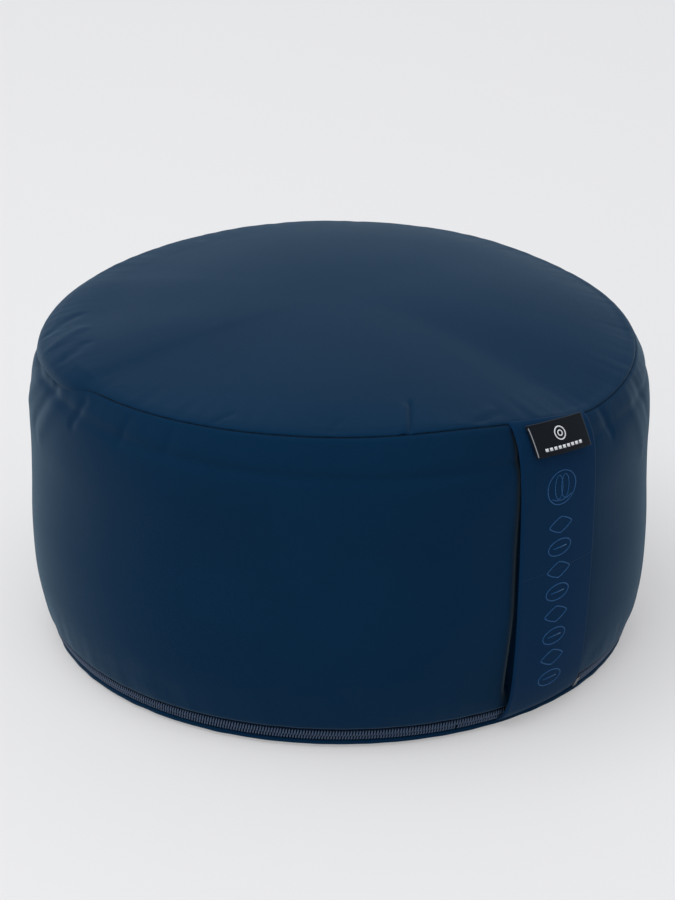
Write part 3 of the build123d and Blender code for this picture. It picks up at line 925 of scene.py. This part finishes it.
# ---------------------------------------------------------------- label
LABEL_MIDDLE = -3.7 - STRAP_MIDDLE      # from the strap's middle
LABEL_WIDE = 33.6
LABEL_TOP = 151.2       # height of its top edge
LABEL_DROP = 15.6       # from its top edge to its lower one
LABEL_BACK = 146.2      # distance of its top edge towards -Y
LABEL_OUT = 6.8         # how much further out its lower edge stands
LABEL_TURN = math.radians(-4.5)         # it hangs a little askew
LABEL_CLOTH = 0.7
LABEL_THREAD = 0.14
RING_STEPS = 56
DASH_STEPS = 9


def label_place(across, down, lift):
    """A point on the hanging label: across it from its middle, down from its top edge."""
    x = across * math.cos(LABEL_TURN) - down * math.sin(LABEL_TURN)
    fall = down * math.cos(LABEL_TURN) - across * math.sin(LABEL_TURN)
    distance = LABEL_BACK + LABEL_OUT * np.clip(fall / LABEL_DROP, 0, 1.3) ** 0.8
    height = LABEL_TOP - fall * 0.92
    curve = ((LABEL_MIDDLE + x) ** 2) / (2 * BELLY_R)
    y = -(distance + lift) + curve
    return np.stack(np.broadcast_arrays(STRAP_MIDDLE + LABEL_MIDDLE + x, y, height), axis=-1)


def label_patch(name, across, down, lift, thick, key):
    """A thin patch of the label or of the thread on it."""
    columns, rows = 48, 28
    a = np.linspace(across[0], across[1], columns)[None, :]
    d = np.linspace(down[0], down[1], rows)[:, None]
    a, d = np.broadcast_arrays(a, d)
    front = label_place(a, d, lift + thick)
    back = label_place(a, d, lift)
    uv = np.stack([a * MM, d * MM], axis=-1)
    piece = shell(name, front[::-1] * MM, back[::-1] * MM, uv[::-1], round_drum=False)
    paint(piece, key)
    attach(piece, "label")
    return piece


def label_ring(across, down, radius, width, lift):
    """A thread ring on the label: verts and faces."""
    turn = np.arange(RING_STEPS) / RING_STEPS * TAU
    verts = []
    for inset, up in ((0, 0), (0, LABEL_THREAD), (width, LABEL_THREAD), (width, 0)):
        r = radius - inset
        verts.append(label_place(across + r * np.cos(turn), down + r * np.sin(turn), lift + up))
    verts = np.stack(verts, axis=1).reshape(-1, 3)
    faces = []
    for i in range(RING_STEPS):
        j = (i + 1) % RING_STEPS
        for k in range(4):
            n = (k + 1) % 4
            faces.append((j * 4 + k, j * 4 + n, i * 4 + n, i * 4 + k))
    return verts, faces


def label_dash(across, down, wide, tall, lift):
    """A short bar of thread on the label: verts and faces."""
    xs = np.linspace(across - wide / 2, across + wide / 2, DASH_STEPS)
    rows = []
    for place, up in ((-0.5, 0), (-0.5, LABEL_THREAD), (0.5, LABEL_THREAD), (0.5, 0)):
        rows.append(label_place(xs, np.full(DASH_STEPS, down + place * tall), lift + up))
    verts = np.stack(rows, axis=1).reshape(-1, 3)
    faces = []
    last = DASH_STEPS - 1
    for i in range(last):
        for k in range(4):
            n = (k + 1) % 4
            faces.append((i * 4 + k, i * 4 + n, i * 4 + 4 + n, i * 4 + 4 + k))
    faces.append((3, 2, 1, 0))
    faces.append(tuple(last * 4 + k for k in range(4)))
    return verts, faces


def build_label():
    """Folded black label with a light fold line and a plain woven ornament."""
    half = LABEL_WIDE / 2
    across, down = (-half, half), (0.0, LABEL_DROP)
    cloth = label_patch("label_cloth", across, down, 0.0, LABEL_CLOTH, "label")
    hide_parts("side_label")
    across, down = (-half + 0.5, -half + 0.95), (1.2, LABEL_DROP - 0.6)
    label_patch("label_fold_line", across, down, LABEL_CLOTH, 0.1, "label_edge")
    lift = LABEL_CLOTH - 0.02
    marks = [
        label_ring(0.0, 6.0, 3.3, 0.55, lift),
        label_ring(0.0, 6.0, 1.5, 0.5, lift),
    ]
    for number in range(9):
        marks.append(label_dash(-10.4 + number * 2.6, 12.4, 1.7, 1.5, lift))
    piece = joined("label_ornament", marks)
    paint(piece, "print")
    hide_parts("label_motif")
    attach(piece, "label")


# ---------------------------------------------------------------- inside the cover
def build_liner():
    """Soft sheeting round the hulls, seen when the base is open, gathered at its corner and its zip."""
    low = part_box("liner_bottom_panel")[0][2] / MM
    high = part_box("liner_top_panel")[1][2] / MM
    slot = [value / MM - 1.5 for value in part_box("liner_zip_tapes")[1]]
    profile = spline([
        (104.0, low + 0.2), (118.0, low + 0.4), (127.0, low + 3.2), (135.0, low + 9.6), (141.2, 22.0),
        (144.0, 40.0), (144.8, 62.0), (144.6, 90.0), (144.0, 118.0), (140.0, 134.0), (130.0, 142.6),
        (116.0, 148.6), (80.0, 156.6), (40.0, 160.8), (0.0, high - 2.8),
    ], 140)
    columns = 480
    turn = np.arange(columns) / columns * TAU
    bearing = np.degrees(turn)
    floor_rows = 22
    share = np.linspace(0, 1, floor_rows)[:-1, None]
    x = (1 - share) * slot[0] * np.cos(turn) + share * profile[0, 0] * np.cos(turn)
    y = (1 - share) * slot[1] * np.sin(turn) + share * profile[0, 0] * np.sin(turn)
    floor_rise = 0.35 * (1 + waves(bearing, 52, 3, 9, 5)) * np.sin(np.pi * share)
    under = np.stack(np.broadcast_arrays(x, y, low + 0.2 + floor_rise), axis=-1)
    corner = bump_at(profile[:, 0], 138.0, 12.0)[:, None] * (profile[:, 1] < 60.0)[:, None]
    radius = profile[:, 0][:, None] - 0.5 * corner * (1.7 + waves(bearing, 51, 24, 70, 8)[None, :])
    height = np.repeat(profile[:, 1][:, None], columns, axis=1)
    drum = np.stack([radius * np.cos(turn), radius * np.sin(turn), height], axis=-1)
    outer = np.concatenate([under, drum])
    inward = outer * np.array([-1, -1, 0]) / 150.0
    inward[:, :, 2] = np.where(outer[:, :, 2] < 30, 0.8, -0.4)
    uv = np.stack([np.broadcast_to(turn[None, :] * 0.145, outer.shape[:2]), outer[:, :, 2] * MM], axis=-1)
    uv[:floor_rows] = outer[:floor_rows, :, :2] * MM
    piece = shell("liner_cloth", (outer + 0.8 * inward)[::-1] * MM, outer[::-1] * MM, uv[::-1])
    paint(piece, "liner")
    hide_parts("liner_bottom_panel", "liner_side_panel", "liner_top_panel")
    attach(piece, "cover")

    # The hulls fill it, a little inside its cloth
    middle = np.array([0.0, 0.0, 80.0])
    heap = filled("hull_heap", ((outer[:-1:3, ::3] - middle) * 0.955 + middle) * MM)
    paint(heap, "hulls")
    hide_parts("hull_fill")
    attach(heap, "cover")


def paint_inside():
    """Finishes of the CAD nodes inside the cover that no other piece replaces."""
    add_weave(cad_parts["care_label"])
    paint(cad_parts["care_label"], "care")
    paint(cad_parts["liner_zip_coils"], "liner_coil")


# ---------------------------------------------------------------- floor and light
def area_light(name, place, aim, size, power, colour):
    """A soft rectangular light that looks at a point."""
    data = bpy.data.lights.new(name, "AREA")
    data.shape = "RECTANGLE"
    data.size, data.size_y = size
    data.energy = power
    data.color = colour
    piece = bpy.data.objects.new(name, data)
    piece.location = place
    piece.rotation_euler = (Vector(place) - Vector(aim)).to_track_quat("Z", "Y").to_euler()
    bpy.context.collection.objects.link(piece)


def build_studio():
    """A pale floor without a horizon in view, a large soft light overhead, and a pale room."""
    size = 8.0
    corners = [(-size, -size, 0), (size, -size, 0), (size, size, 0), (-size, size, 0)]
    floor = new_object("floor", corners, [(0, 1, 2, 3)])
    m = Nodes("floor_paper")
    m.shader.inputs["Base Color"].default_value = linear(176, 177, 179)
    m.shader.inputs["Roughness"].default_value = 0.9
    m.shader.inputs["Emission Color"].default_value = (1.0, 0.985, 0.975, 1.0)
    m.shader.inputs["Emission Strength"].default_value = 0.345
    floor.data.materials.append(m.material)
    world = bpy.data.worlds.new("room")
    world.use_nodes = True
    world.node_tree.nodes["Background"].inputs[0].default_value = (0.93, 0.95, 1.0, 1.0)
    world.node_tree.nodes["Background"].inputs[1].default_value = 0.62
    bpy.context.scene.world = world
    area_light("overhead", (-0.7, 0.0, 2.3), (0, 0, 0), (2.4, 2.0), 36.0, (1.0, 0.99, 0.97))
    area_light("left_fill", (-2.2, -0.3, 1.2), (0, 0, 0.08), (1.6, 1.2), 6.0, (1.0, 1.0, 1.0))
    area_light("back_glow", (1.5, 1.6, 1.3), (0, 0, 0.15), (1.8, 0.9), 4.0, (1.0, 1.0, 1.0))
    bpy.context.scene.view_settings.view_transform = "Standard"


camera()
build_cover()
build_base()
build_zip()
build_strap()
build_label()
build_liner()
paint_inside()
build_studio()
